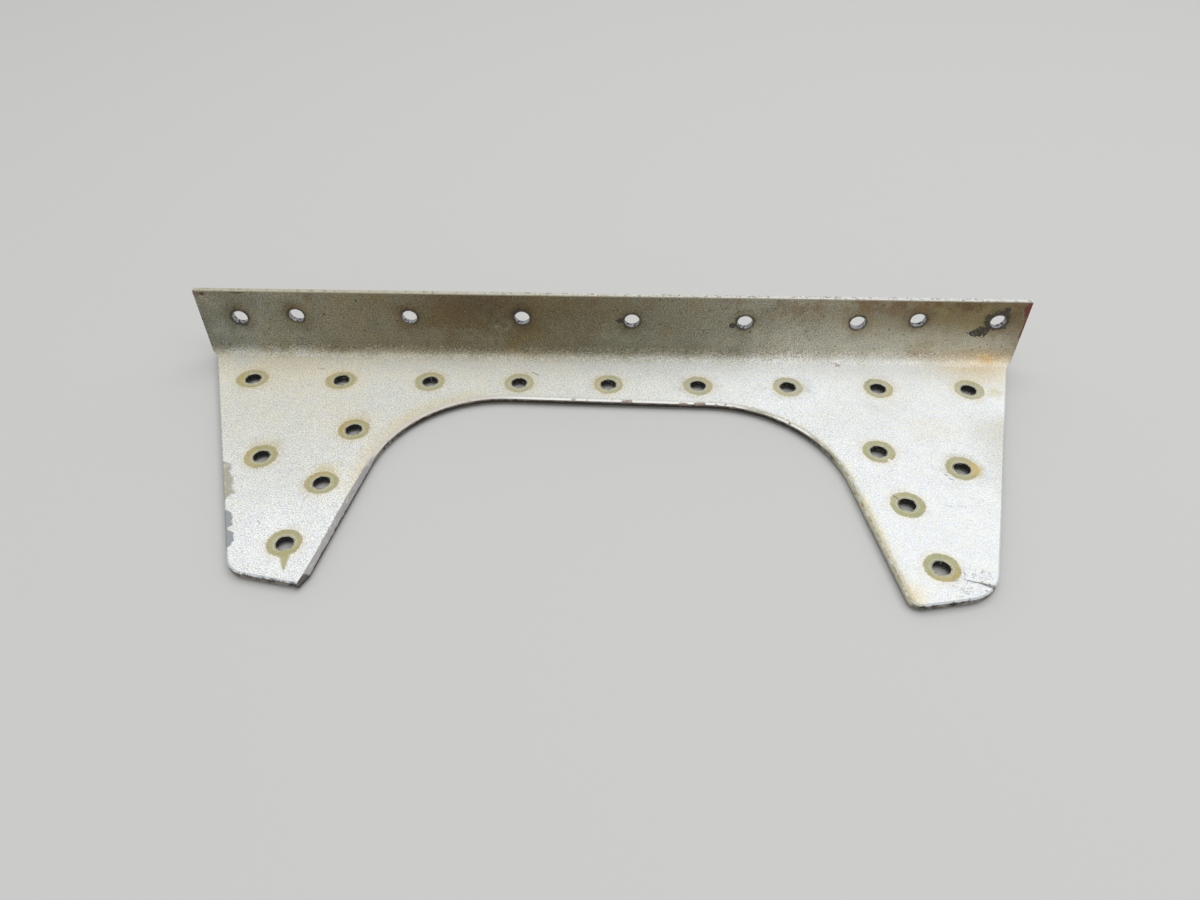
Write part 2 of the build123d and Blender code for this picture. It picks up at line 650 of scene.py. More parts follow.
@dataclass
class Look:
    """What lies on the sheet so far: colour, roughness, bare metal, and relief in millimetres."""

    colour: Wire
    roughness: Wire
    metallic: Wire
    relief: Wire

    def cover(self, mask: Wire, colour: Value, sheen: Sheen) -> None:
        """Lays another finish over it.

        Args:
            mask: where the new finish lies.
            colour: its colour.
            sheen: its roughness and bare metal.
        """
        roughness, metallic = sheen.value
        self.colour = mask.graph.mix(mask, self.colour, colour)
        self.roughness = mask.graph.fade(mask, self.roughness, roughness)
        self.metallic = mask.graph.fade(mask, self.metallic, metallic)

    def stain(self, mask: Wire | float, colour: Value) -> None:
        """Multiplies its colour by a stain's, where the mask is."""
        self.colour = self.colour.graph.mix(mask, self.colour, colour, Blend.STAIN)

    def dull(self, mask: Wire, roughness: float) -> None:
        """Makes it rougher and takes its glint of metal, where the mask is."""
        self.roughness = mask.graph.fade(mask, self.roughness, roughness)
        self.metallic = mask.graph.fade(mask, self.metallic, 0.0)

    def lift(self, height: Wire) -> None:
        """Adds a height in millimetres to its relief."""
        self.relief = self.relief + height


@dataclass(frozen=True)
class Finish:
    """A finish of the sheet: the places that it reads, and the look that it is laid over."""

    at: SheetPlaces
    look: Look


@dataclass(frozen=True)
class AgedPaint:
    """Silver paint gone dull and chalky, with the glint of its flakes. Its whiter legs and right side are
    partly painted sheen.
    """

    silver: Tint = Tint(0.855, 0.86, 0.832)
    cream: Tint = Tint(0.852, 0.832, 0.762)
    chalk_and_sheen: Tint = Tint(0.932, 0.944, 0.944)
    fleck: Tint = Tint(0.60, 0.58, 0.53)
    roughness: float = 0.48
    metallic: float = 0.14
    flake_size: float = 0.24
    creamy_left: Ramp = Ramp(25.0, -80.0, 0.4)
    creamy_back: Ramp = Ramp(-16.0, 9.0, 0.18)
    chalk_and_sheen_front: Ramp = Ramp(-4.0, -50.0, 0.85)
    chalk_and_sheen_right: Ramp = Ramp(-25.0, 42.0, 0.8)
    painted_light_by_bend: Ramp = Ramp(-14.0, 7.0, 0.1)
    smooth_right: Ramp = Ramp(38.0, 56.0)
    smooth_front: Ramp = Ramp(-22.0, -38.0, 0.2)

    def lay(self, at: SheetPlaces) -> Look:
        """The paint all over the sheet.

        Args:
            at: the places on the sheet.

        Returns:
            The look of the paint.
        """
        graph = at.graph
        flake = graph.cells(at.point, self.flake_size)
        creamy = at.broad * 2.3 + at.mottle * 0.9 + self.creamy_left.of(at.x) + self.creamy_back.of(at.y)
        colour = graph.mix(creamy.rise(0.0, 1.2), self.silver, self.cream)
        duller = at.x.rise(68.0, 82.0) * at.y.rise(-46.0, -30.0) * at.y.rise(-5.0, -13.0)
        # Whiter towards the legs and the right: chalky paint, partly painted sheen.
        chalk_and_sheen_share = self.chalk_and_sheen_front.of(at.y) + self.chalk_and_sheen_right.of(at.x) + at.broad * 1.2 - duller * 1.1
        colour = graph.mix(chalk_and_sheen_share.rise(-0.1, 1.1), colour, self.chalk_and_sheen)
        grain = 1.0 - self.smooth_right.of(at.x) * (0.27 + self.smooth_front.of(at.y))
        grainy = grain * (at.speckle * 1.4 + at.fine * 0.36 + flake * 0.18)
        # Lighter towards the bend: painted light that offsets the flange's shade.
        shade = 1.0 + self.painted_light_by_bend.of(at.y) + grainy + at.mottle * 0.14
        red = shade + at.ragged * 0.015
        blue = shade - at.ragged * 0.015 - at.mottle * 0.03 - at.clouds * 0.04
        colour = graph.mix(1.0, colour, graph.colour(red, shade, blue), Blend.STAIN)
        flecks = at.fine.rise(0.15, 0.2) * at.clouds.rise(-0.06, 0.08)
        colour = graph.mix(flecks * 0.5, colour, self.fleck)
        rough = self.roughness + at.broad * 0.16 + flake * 0.2
        metal = self.metallic + flake * 0.22
        return Look(colour, rough, metal, at.speckle * 0.03 + at.fine * 0.02)


@dataclass(frozen=True)
class Yellowing(Finish):
    """Old yellow and tan tints in the paint, along the bend and about the arch."""

    cream: Tint = Tint(0.985, 0.95, 0.87)
    orange: Tint = Tint(1.0, 0.925, 0.80)
    pink: Tint = Tint(0.90, 0.72, 0.68)
    olive: Tint = Tint(0.915, 0.90, 0.845)
    grey: Tint = Tint(0.90, 0.90, 0.89)
    end_of_bend: Patch = Patch(Wall.FOLDED, (83.0, 9.2, 2.4), (21.0, 4.9, 4.0))
    below_bend: Patch = Patch(Wall.WEB, (79.0, 5.0, 0.0), (14.0, 6.5, 1.0), 0.9)
    end_spot: Patch = Patch(Wall.FOLDED, (82.2, 9.5, 2.5), (3.4, 2.2, 1.8), 0.9)
    pink_spots: tuple[Patch, ...] = (
        Patch(Wall.FOLDED, (49.8, 7.8, 1.3), (1.3, 1.0, 1.0), 0.7),
        Patch(Wall.FOLDED, (67.5, 10.0, 3.4), (3.4, 2.0, 1.3), 0.4),
    )
    web_spots: tuple[tuple[Patch, Tint], ...] = (
        (Patch(Wall.WEB, (-54.0, -27.4, 0.0), (5.0, 3.4, 1.0)), Tint(0.97, 0.94, 0.86)),
        (Patch(Wall.WEB, (-51.5, -12.6, 0.0), (5.4, 3.6, 1.0)), Tint(0.97, 0.95, 0.89)),
        (Patch(Wall.WEB, (-67.5, -20.6, 0.0), (5.4, 3.4, 1.0)), Tint(0.97, 0.95, 0.90)),
        (Patch(Wall.WEB, (18.6, -0.6, 0.0), (6.5, 5.0, 1.0)), Tint(0.94, 0.945, 0.95)),
        (Patch(Wall.WEB, (38.1, -0.2, 0.0), (7.5, 6.0, 1.0)), Tint(0.91, 0.92, 0.925)),
        (Patch(Wall.WEB, (68.9, -24.2, 0.0), (7.0, 6.0, 1.0)), Tint(0.92, 0.93, 0.93)),
        (Patch(Wall.WEB, (81.4, -0.6, 0.0), (3.2, 2.8, 1.0)), Tint(0.94, 0.92, 0.84)),
    )
    right_tip: Patch = Patch(Wall.WEB, (53.6, -54.6, 0.0), (3.2, 5.0, 1.0), 0.9)
    upper_left: Patch = Patch(Wall.WEB, (-72.0, 4.0, 0.0), (26.0, 10.0, 1.0), 0.5)
    below_right: Patch = Patch(Wall.WEB, (66.0, -13.0, 0.0), (9.0, 5.0, 1.0), 0.35)

    def lay(self) -> None:
        """Lays the tints over the paint."""
        at, look = self.at, self.look
        leftward = at.x.rise(42.0, 20.0) * 0.55 + at.x.rise(10.0, -40.0) * 0.45
        by_bend = at.fold.rise(7.5, 10.0) * at.fold.rise(16.0, 11.0) * leftward
        look.stain(at.front * by_bend * (0.35 + at.clouds * 2.0 + at.ragged), self.cream)
        look.stain(at.patch(self.end_of_bend, at.clouds * 0.6 + at.ragged * 0.2), self.orange)
        look.stain(at.web_face * at.patch(self.below_bend, at.clouds + at.ragged * 0.5), self.cream)
        look.stain(at.patch(self.end_spot, at.mottle * 1.5), self.orange)
        for spot in self.pink_spots:
            look.stain(at.patch(spot, at.fine * 3.0), self.pink)
        self.lay_by_arch()
        for spot, tint in self.web_spots:
            look.stain(at.web_face * at.patch(spot, at.mottle * 1.5), tint)
        upper_left = at.patch(self.upper_left, at.clouds)
        below_right = at.patch(self.below_right, at.clouds * 1.5)
        right_tip = at.patch(self.right_tip, at.mottle)
        look.stain(at.web_face * (upper_left | below_right | right_tip), self.cream)

    def lay_by_arch(self) -> None:
        """Lays the tints that follow the arch's edge, and painted shade along the crown's edge."""
        at, look = self.at, self.look
        up_arc = at.y.rise(-34.0, -24.0)
        right_arc = at.x.rise(30.0, 46.0) * (0.8 - up_arc * 0.55 + at.mottle * 3.0)
        look.stain(at.web_face * at.arch_gap.rise(2.6, 0.3) * right_arc, self.cream)
        rim = (at.arch_gap + at.ragged + up_arc * 0.35).rise(1.5, 0.5) * at.x.rise(24.0, 30.0)
        look.stain(at.web_face * rim, self.olive)
        left_arc = at.arch_gap.rise(5.0, 0.5) * at.x.rise(-22.0, -34.0) * at.y.rise(-38.0, -28.0)
        look.stain(at.web_face * left_arc * (0.9 + at.clouds), self.cream)
        # Greyer along the crown's edge: painted shade.
        along_crown = 0.45 + at.x.rise(14.0, 25.0) * at.x.rise(42.0, 34.0) * 0.5
        crown = (at.arch_gap + at.ragged * 0.8).rise(1.05, 0.6) * at.x.rise(-25.0, -15.0)
        look.stain(at.web_face * crown * along_crown, self.grey)


@dataclass(frozen=True)
class FlangeGrime(Finish):
    """Oily brown grime on the inner face of the flange, with rusty smears under its upper edge."""

    olive: Tint = Tint(0.565, 0.55, 0.485)
    brown: Tint = Tint(0.79, 0.72, 0.545)
    warm: Tint = Tint(0.985, 0.96, 0.905)
    deep: Tint = Tint(0.87, 0.81, 0.76)
    blue_grey: Tint = Tint(0.93, 0.97, 1.0)
    rust: Tint = Tint(0.86, 0.73, 0.60)
    pale: Tint = Tint(0.68, 0.66, 0.60)
    spot: Tint = Tint(0.25, 0.16, 0.12)
    roughness: float = 0.62
    foot: Ramp = Ramp(8.4, 13.4)
    low_foot: Ramp = Ramp(60.0, 10.0, 0.6)
    high_foot: Ramp = Ramp(70.0, 81.0, 1.1)
    middle: Patch = Patch(Wall.FLANGE, (-20.0, 0.0, 12.0), (54.0, 1.0, 18.0))
    right: Patch = Patch(Wall.FLANGE, (76.0, 0.0, 15.0), (38.0, 1.0, 13.0), 0.95)
    darkest: Patch = Patch(Wall.FLANGE, (-29.0, 0.0, 14.0), (17.0, 1.0, 11.0))
    right_end: Patch = Patch(Wall.FLANGE, (86.5, 0.0, 10.5), (4.5, 1.0, 7.0), 0.7)
    left_end: Patch = Patch(Wall.FLANGE, (-85.0, 0.0, 7.0), (11.0, 1.0, 10.0))
    left_corner: Patch = Patch(Wall.FLANGE, (-86.3, 0.0, 16.1), (1.3, 1.0, 0.8))
    under_edge: Patch = Patch(Wall.FLANGE, (-78.8, 0.0, 16.5), (2.8, 1.0, 0.45))

    def lay(self) -> None:
        """Lays the grime over the paint."""
        at, look = self.at, self.look
        foot = at.fold + self.low_foot.of(at.x) - self.high_foot.of(at.x)
        face = at.front * self.foot.of(foot + at.clouds * 2.5 + at.ragged * 1.2)
        cleaner = at.x.rise(18.0, 60.0) * (at.z.rise(14.0, 3.0) * 0.42 + 0.08) * at.x.rise(108.0, 76.0)
        patchy = 0.95 + at.clouds * 0.7 + at.ragged * 0.5
        look.stain(face * (1.0 - cleaner) * patchy, self.olive)
        cloudy = at.clouds * 2.0 + at.ragged
        look.stain(face * (at.patch(self.middle, cloudy) | at.patch(self.right, cloudy)), self.brown)
        look.stain(face * at.x.rise(5.0, 45.0), self.warm)
        look.stain(face * at.patch(self.darkest, at.clouds * 1.5 + at.ragged), self.deep)
        look.stain(face * at.patch(self.right_end, at.clouds + at.ragged * 0.5), self.deep)
        look.stain(face * at.patch(self.left_end, at.clouds), self.blue_grey)
        smears = (at.clouds + at.mottle * 0.8 + at.ragged * 0.4).rise(-0.08, 0.22)
        sides = at.x.rise(-80.0, -60.0) * 0.6 + at.x.rise(30.0, 60.0) * 0.4
        look.stain(face * at.z.rise(9.0, 16.0) * smears * sides, self.rust)
        flecks = (at.fine + at.speckle * 0.5).rise(0.2, 0.27)
        look.cover(flecks * face * 0.5, self.pale, Sheen.DULL)
        rough_grain = at.fine * 0.8 + at.speckle * 1.3 + at.ragged * 0.8 + at.mottle * 0.3
        grain = 1.0 + face * rough_grain * (1.0 - at.x.rise(35.0, 65.0) * 0.5)
        look.stain(1.0, at.graph.colour(grain + at.ragged * 0.1, grain, grain - at.ragged * 0.25))
        left_corner = at.patch(self.left_corner, at.ragged * 1.5).rise(0.1, 0.5)
        under_edge = at.patch(self.under_edge, at.ragged * 1.5).rise(0.1, 0.6)
        look.cover(at.front * (left_corner * 0.85 | under_edge * 0.7), self.spot, Sheen.DULL)
        look.dull(face * 0.7, self.roughness)


@dataclass(frozen=True)
class RivetHead:
    """The print that one rivet's head left about its hole, in millimetres, shares and degrees."""

    near: tuple[float, float]
    radius: float = 3.15
    softness: float = 0.22
    strength: float = 0.9
    drift: tuple[float, float] = (0.0, 0.0)
    warm_side: float | None = None
    squeeze: float = 1.0

    def centre(self, holes: list[Hole]) -> Spot:
        """The middle of the print, by the hole that is nearest to its place.

        Args:
            holes: the web's holes.

        Returns:
            The middle, in millimetres.
        """
        x, y = self.near
        hole = min(holes, key=lambda hole: hypot(hole.centre.x - x, hole.centre.y - y))
        return (hole.centre.x + self.drift[0], hole.centre.y + self.drift[1], 0.0)


WEB_HEADS = (
    RivetHead((-76.0, 0.0), 3.1, 0.7, 0.95, (-0.2, 0.0), 180.0, 1.15),
    RivetHead((-57.0, 0.0), 2.9, 0.85, 0.95, (-0.1, -0.1), 200.0, 1.15),
    RivetHead((-38.0, 0.0), 2.95, 0.45, 0.9, (-0.1, 0.0), 60.0),
    RivetHead((-19.0, 0.0), 2.95, 0.35, 0.85),
    RivetHead((0.0, 0.0), 2.95, 0.3, 0.85, (0.0, 0.0), 160.0),
    RivetHead((19.0, 0.0), 2.95, 0.3, 0.85, (0.0, 0.0), 20.0),
    RivetHead((38.0, 0.0), 2.95, 0.4, 0.75, (0.0, 0.1), 240.0),
    RivetHead((57.0, 0.0), 2.95, 0.3, 0.85, (0.1, 0.1), 330.0),
    RivetHead((76.0, 0.0), 2.95, 0.3, 0.8, (0.2, 0.1)),
    RivetHead((-67.0, -24.0), 3.12, 0.25, 0.92, (-0.1, 0.0), 190.0),
    RivetHead((-51.0, -15.0), 3.05, 0.35, 0.9, (0.0, 0.0), 150.0, 1.06),
    RivetHead((-54.0, -30.0), 3.08, 0.4, 0.92, (0.0, -0.05), 140.0, 1.1),
    RivetHead((-57.0, -46.0), 3.1, 0.25, 0.94, (-0.1, 0.1)),
    RivetHead((53.0, -19.0), 3.1, 0.22, 0.92, (0.1, 0.0)),
    RivetHead((69.0, -24.0), 3.05, 0.28, 0.92, (0.0, 0.1), 0.0),
    RivetHead((56.0, -34.0), 3.18, 0.2, 0.94, (0.1, 0.0)),
    RivetHead((59.0, -48.0), 3.15, 0.2, 0.94, (0.1, 0.1), 300.0),
)


@dataclass(frozen=True)
class RivetPrints(Finish):
    """Khaki prints of the rivet heads on the web, with dirt at the holes' rims."""

    khaki: Tint = Tint(0.68, 0.655, 0.465)
    moss: Tint = Tint(0.65, 0.66, 0.49)
    ochre: Tint = Tint(0.73, 0.65, 0.39)
    scuffed: Tint = Tint(0.78, 0.775, 0.68)
    outline: Tint = Tint(0.88, 0.84, 0.74)
    halo: Tint = Tint(0.97, 0.925, 0.85)
    rim_dirt: Tint = Tint(0.62, 0.60, 0.52)
    rust: Tint = Tint(0.81, 0.725, 0.49)
    deep: Tint = Tint(0.94, 0.92, 0.82)
    warm_part: Ramp = Ramp(-0.6, 3.2)
    around: Ramp = Ramp(4.9, 2.9)
    scuffed_rim: Ramp = Ramp(2.45, 1.8, 0.6)
    dirty_rim: Ramp = Ramp(2.0, 1.72, 0.6)
    drop: Stroke = Stroke((-56.3, -48.0), (-55.6, -51.6), (1.5, 0.3), 0.92)
    rust_spot: Patch = Patch(Wall.WEB, (71.3, -23.9, 0.0), (2.1, 2.9, 1.0), 0.8)

    def lay(self) -> None:
        """Lays the prints over the paint."""
        at, look = self.at, self.look
        wobble = at.ragged * 0.55 + at.fine * 0.45
        borders, prints, warm_parts = [], [], []
        for head in WEB_HEADS:
            centre = head.centre(at.web_holes)
            squeezed = at.graph.vector("MULTIPLY", at.on_web, (1.0, head.squeeze, 1.0))
            away = at.distance(squeezed, (centre[0], centre[1] * head.squeeze, 0.0)) + wobble
            border = away.rise(head.radius + head.softness, head.radius - head.softness)
            borders.append(border)
            prints.append(border * head.strength)
            if head.warm_side is not None:
                way = (cos(radians(head.warm_side)), sin(radians(head.warm_side)), 0.0)
                offset = at.graph.vector("SUBTRACT", at.on_web, centre)
                warm_parts.append(self.warm_part.of(at.graph.dot(offset, way)) * border)
        border = anywhere(borders)
        around = self.around.of(at.web_hole_gap + at.mottle * 2.0) * (1.0 - border)
        look.stain(at.web_face * around * 0.55, self.halo)
        tone = self.tone(anywhere(warm_parts), wobble)
        mottled = 0.95 + at.mottle * 0.4
        look.cover(at.web_face * anywhere(prints) * mottled, tone, Sheen.STAIN)
        look.stain(at.web_face * border * (1.0 - border) * 3.2, self.outline)
        look.stain(at.web_face * self.dirty_rim.of(at.web_hole_gap + wobble * 0.4), self.rim_dirt)
        look.cover(at.web_face * at.stroke(self.drop), self.khaki, Sheen.STAIN)
        look.cover(at.web_face * at.patch(self.rust_spot, at.mottle), self.rust, Sheen.RUBBED)

    def tone(self, warm: Wire, wobble: Wire) -> Wire:
        """The prints' colour.

        Args:
            warm: where the prints are warmer.
            wobble: the unevenness of their rims.

        Returns:
            The colour, which changes from print to print and within each.
        """
        at, graph = self.at, self.at.graph
        tone = graph.mix((at.mottle * 3.0 + at.ragged).rise(-0.5, 0.5), self.khaki, self.moss)
        tone = graph.mix(warm * (0.85 + at.mottle), tone, self.ochre)
        deep = at.x.rise(10.0, 20.0) * 0.4 | at.y.rise(-9.0, -13.0) * at.x.rise(1.0, 0.0)
        tone = graph.mix(deep, tone, self.deep, Blend.STAIN)
        scuffed = self.scuffed_rim.of(at.web_hole_gap + wobble) + at.ragged.rise(0.1, 0.25) * 0.4
        tone = graph.mix(scuffed, tone, self.scuffed)
        grain = 1.0 + at.fine * 0.35 + at.speckle * 0.6
        return graph.mix(1.0, tone, graph.colour(grain, grain, grain - at.fine * 0.15), Blend.STAIN)


@dataclass(frozen=True)
class Blot:
    """A blot of grime, in millimetres: its hole in the flange, its middle from there, its half sizes."""

    hole: int
    offset: tuple[float, float]
    reach: tuple[float, float]


@dataclass(frozen=True)
class HoleDirt(Finish):
    """Black grime about the flange's holes, and the smear by the last one."""

    black: Tint = Tint(0.20, 0.185, 0.15)
    brown: Tint = Tint(0.76, 0.64, 0.45)
    ring: Ramp = Ramp(2.35, 1.8)
    halo: Ramp = Ramp(4.4, 1.8, 0.45)
    tops: tuple[Blot, ...] = tuple(Blot(hole, (-0.3, 1.6), (3.6, 3.0)) for hole in range(4))
    smears: tuple[Blot, ...] = (
        Blot(-1, (-0.35, 0.25), (3.9, 3.8)),
        Blot(-1, (-2.0, 0.9), (1.9, 1.5)),
        Blot(-1, (1.0, 2.5), (1.2, 1.5)),
        Blot(-1, (-2.7, -2.5), (2.4, 2.1)),
        Blot(-1, (-3.9, -3.0), (2.4, 1.4)),
        Blot(4, (-2.4, 0.0), (1.3, 1.0)),
        Blot(5, (-2.4, -0.9), (1.2, 1.0)),
    )

    def lay(self) -> None:
        """Lays the grime over the flange's inner face."""
        at, look = self.at, self.look
        halo = self.halo.of(at.flange_hole_gap + at.mottle * 2.5)
        look.stain(at.flange_face * (halo | self.blotted(self.tops, at.ragged)), self.brown)
        ring = self.ring.of(at.flange_hole_gap + at.ragged * 0.8 + at.mottle * 1.2)
        smeared = self.blotted(self.smears, 0.0) + at.ragged + at.fine * 1.8
        dirt = ring * 0.85 | smeared.rise(0.29, 0.39) * (0.92 + at.ragged + at.fine)
        look.cover(at.flange_face * dirt, self.black, Sheen.DULL)

    def blotted(self, blots: tuple[Blot, ...], wobble: Wire | float) -> Wire:
        """Where any of the blots is.

        Args:
            blots: the blots.
            wobble: what roughens their edges.

        Returns:
            The mask.
        """
        patches = []
        for blot in blots:
            hole = self.at.flange_holes[blot.hole].centre
            middle = (hole.x + blot.offset[0], 0.0, hole.z + blot.offset[1])
            reach = (blot.reach[0], 1.0, blot.reach[1])
            patches.append(self.at.patch(Patch(Wall.FLANGE, middle, reach), wobble))
        return anywhere(patches)


@dataclass(frozen=True)
class WornEdges(Finish):
    """Paint lost from the web's edges, down to grey metal and old primer."""

    primer: Tint = Tint(0.66, 0.655, 0.595)
    metal: Tint = Tint(0.60, 0.62, 0.635)
    dark: Tint = Tint(0.48, 0.46, 0.40)
    edge: Tint = Tint(0.90, 0.91, 0.925)
    rubbed: Tint = Tint(0.83, 0.805, 0.765)
    rim_highlight: Tint = Tint(1.0, 0.995, 0.975)
    olive: Tint = Tint(0.69, 0.675, 0.585)
    chip: Tint = Tint(0.64, 0.47, 0.42)
    depth: float = 0.06
    lobes_meet: float = -42.6
    left_of_middle: Ramp = Ramp(0.0, -1.0)
    right_of_middle: Ramp = Ramp(0.0, 1.0)

    def lay(self) -> None:
        """Lays the worn edges over the paint."""
        at, look = self.at, self.look
        self.lay_rims()
        upper = at.y.rise(-24.5, -26.5) * at.y.rise(-36.5, -33.5)
        upper_loss = (upper * 1.95 - at.left_gap + at.ragged * 3.0 + at.fine * 1.4).rise(-0.1, 0.5)
        mixed = at.graph.mix((at.ragged + at.fine).rise(0.0, 0.25) * 0.7, self.primer, self.rubbed)
        look.cover(at.web_face * upper_loss, mixed, Sheen.MATT)
        meet = abs(at.y - self.lobes_meet).rise(0.9, 0.2)
        lobes = at.y.rise(-37.6, -38.8) * at.y.rise(-47.6, -45.6) * (1.0 - meet * 0.6)
        lower_loss = (lobes * 1.4 - at.left_gap + at.ragged * 1.3 + at.fine * 0.5).rise(0.0, 0.2)
        look.cover(at.web_face * lower_loss, self.metal, Sheen.RUBBED)
        by_left_leg = at.x.rise(-15.0, -28.0) * at.y.rise(-27.0, -24.0)
        rubbed = (0.95 - at.arch_gap + at.ragged * 1.5).rise(-0.1, 0.15) * by_left_leg
        look.cover(at.web_face * rubbed * (0.85 + at.fine), self.rubbed, Sheen.RUBBED)
        left_tip = (0.1 - at.left_tip_gap + at.ragged * 1.8).rise(0.0, 0.12)
        right_tip = (at.ragged * 1.5 - at.right_tip_gap).rise(0.0, 0.1)
        chips = left_tip * self.left_of_middle.of(at.x) | right_tip * self.right_of_middle.of(at.x)
        look.cover(at.web_face * chips * at.fine.rise(-0.16, 0.02), self.metal, Sheen.CHIPPED)
        look.cover(at.web_face * chips * at.ragged.rise(0.09, 0.16), self.dark, Sheen.DRY_DIRT)
        look.lift((upper_loss | lower_loss | chips) * at.web_face * -self.depth)

    def lay_rims(self) -> None:
        """Lays the worn rims along the web's broken edges, with a painted highlight on the arch's chamfer.
        """
        at, look = self.at, self.look
        at_arch = at.arch_gap.rise(1.2, 0.8)
        cleaner = at.x.rise(33.0, 35.0) * at.x.rise(42.0, 40.0)
        right_leg = at_arch * at.x.rise(26.0, 31.0) * (1.0 - cleaner)
        # White on the arch's chamfer is a painted highlight; along the right leg the rim is olive paint.
        rim = at.graph.mix(right_leg * (0.85 + at.ragged * 2.5), self.rim_highlight, self.olive)
        look.stain(at.broken * (1.0 - at_arch), self.edge)
        look.cover(at.broken * at_arch, rim, Sheen.RIM_WEAR_AND_HIGHLIGHT)
        spots = at.broken * at_arch * (at.ragged + at.mottle * 0.6)
        look.cover(spots.rise(0.14, 0.2), self.chip, Sheen.DULL)


@dataclass(frozen=True)
class CutWalls(Finish):
    """The sheet's cut edges and the walls of its holes, with painted shade on the arch's walls and in the
    web's holes.
    """

    # The dark brown is dirt on the cut edges, and also painted shade on the crown's wall and low on the
    # left leg's wall; the red-brown gives the spots in the crown's painted shade.
    brown: Tint = Tint(0.175, 0.135, 0.105)
    rust: Tint = Tint(0.45, 0.28, 0.20)
    olive: Tint = Tint(0.79, 0.775, 0.67)
    grey: Tint = Tint(0.56, 0.54, 0.51)
    filed: Tint = Tint(0.635, 0.625, 0.62)
    streak: Tint = Tint(0.86, 0.855, 0.85)
    steep: Tint = Tint(0.74, 0.73, 0.72)
    # The near-black is painted shade on the web holes' walls; in the flange's holes it streaks the glint.
    hole: Tint = Tint(0.11, 0.105, 0.10)
    glint: Tint = Tint(0.69, 0.69, 0.71)
    top: Tint = Tint(0.88, 0.88, 0.865)
    top_left: Tint = Tint(0.75, 0.735, 0.65)
    smudge_and_shade: Tint = Tint(0.54, 0.51, 0.43)
    file_marks: Spot = (1.0, 0.12, 1.0)
    file_mark_size: float = 0.35
    in_hole: Ramp = Ramp(2.0, 1.8)
    cut_corner: Patch = Patch(Wall.FOLDED, (-51.4, -54.0, 0.6), (1.6, 2.2, 1.5))

    def lay(self) -> None:
        """Lays the walls over the paint."""
        at, look = self.at, self.look
        graph = at.graph
        brush = graph.noise(at.drawn_out(self.file_marks), self.file_mark_size)
        look.cover(at.cut, graph.mix(at.ragged.rise(-0.1, 0.15), self.grey, self.brown), Sheen.CUT)
        # The crown's wall is painted shade: dark brown with red-brown spots low down, greying towards its
        # top.
        crown = at.web_wall * at.arch_gap.rise(0.6, 0.3) * (at.y + at.ragged * 8.0).rise(-20.0, -13.0)
        shadowy = graph.mix(at.ragged.rise(0.12, 0.2), self.brown, self.rust)
        lit = (at.z + at.ragged).rise(0.5, 0.85)
        look.cover(crown, graph.mix(lit, shadowy, self.grey), Sheen.MATT)
        right_leg = at.web_wall * at.right_leg_gap.rise(0.6, 0.3) * at.x.rise(43.5, 46.5)
        # Greyer low on the wall, most towards the tip: painted shade.
        low = (at.z + at.ragged + at.y.rise(-50.0, -25.0) * 0.3).rise(0.5, 0.1)
        chips = (at.ragged + at.fine).rise(0.2, 0.3)
        wall = graph.mix(chips, graph.mix(low, self.olive, self.grey), self.brown)
        look.cover(right_leg, wall, Sheen.DULL)
        self.lay_filed_leg(brush)
        corner = at.patch(self.cut_corner).rise(0.05, 0.2) * (at.web_wall | at.broken)
        look.cover(corner * 0.8, self.brown, Sheen.DULL)
        # The web holes' walls are painted shade: near-black with grey patches.
        dull = graph.mix((at.fine + at.ragged * 0.4).rise(0.1, 0.2), self.hole, self.grey)
        look.cover(self.in_hole.of(at.web_hole_gap) & at.web_wall, dull, Sheen.WEB_BORE)
        shiny = graph.mix((at.fine + at.ragged * 0.5).rise(-0.02, 0.12), self.glint, self.hole)
        look.cover(self.in_hole.of(at.flange_hole_gap) & at.flange_wall, shiny, Sheen.FLANGE_BORE)
        top = graph.mix((at.x + at.clouds * 60.0).rise(60.0, -70.0), self.top, self.top_left)
        smudges = (at.fine + at.ragged * 1.2 + at.speckle * 0.5).rise(0.0, 0.26) * 0.85
        look.cover(at.flange_edge, graph.mix(smudges, top, self.smudge_and_shade), Sheen.UPPER_EDGE)
        # The chamfers along the flange's top take the smudge colour as painted shade.
        look.cover(at.top_break * 0.85, self.smudge_and_shade, Sheen.DULL)
        look.lift((at.cut | at.broken | at.flange_edge) * (brush * 0.04 + at.fine * 0.05))

    def lay_filed_leg(self, brush: Wire) -> None:
        """Lays the left leg's inner edge, where a file has bared the metal.

        Args:
            brush: the file's fine streaks.
        """
        at, look, graph = self.at, self.look, self.at.graph
        left_leg = at.left_leg_gap.rise(1.0, 0.85) * at.x.rise(-40.5, -42.5) * at.y.rise(-22.0, -25.0)
        # Brown low on the wall: painted shade.
        wall = graph.mix((at.z + at.ragged).rise(0.7, 0.2), self.steep, self.brown)
        look.cover(left_leg * at.web_wall, wall, Sheen.RUBBED)
        filed = graph.mix((brush + at.ragged * 0.7).rise(0.04, 0.3), self.filed, self.streak)
        filed = graph.mix((brush - at.fine).rise(0.1, 0.3) * 0.6, filed, self.grey)
        width = 0.72 + at.y.rise(-50.0, -40.0) * 0.2 - at.y.rise(-34.0, -26.0) * 0.15
        band = (width - at.left_leg_gap + at.ragged * 0.8).rise(0.0, 0.12)
        band = band * at.y.rise(-22.0, -27.0) * at.x.rise(-35.0, -40.0)
        look.cover(at.web_face * band | left_leg * at.broken, filed, Sheen.FILED)


class Mark(Enum):
    """What a stroke on the web shows."""

    DARK = Tint(0.42, 0.41, 0.39)
    LIGHT = Tint(0.96, 0.96, 0.94)
    CHIP = Tint(0.62, 0.50, 0.46)


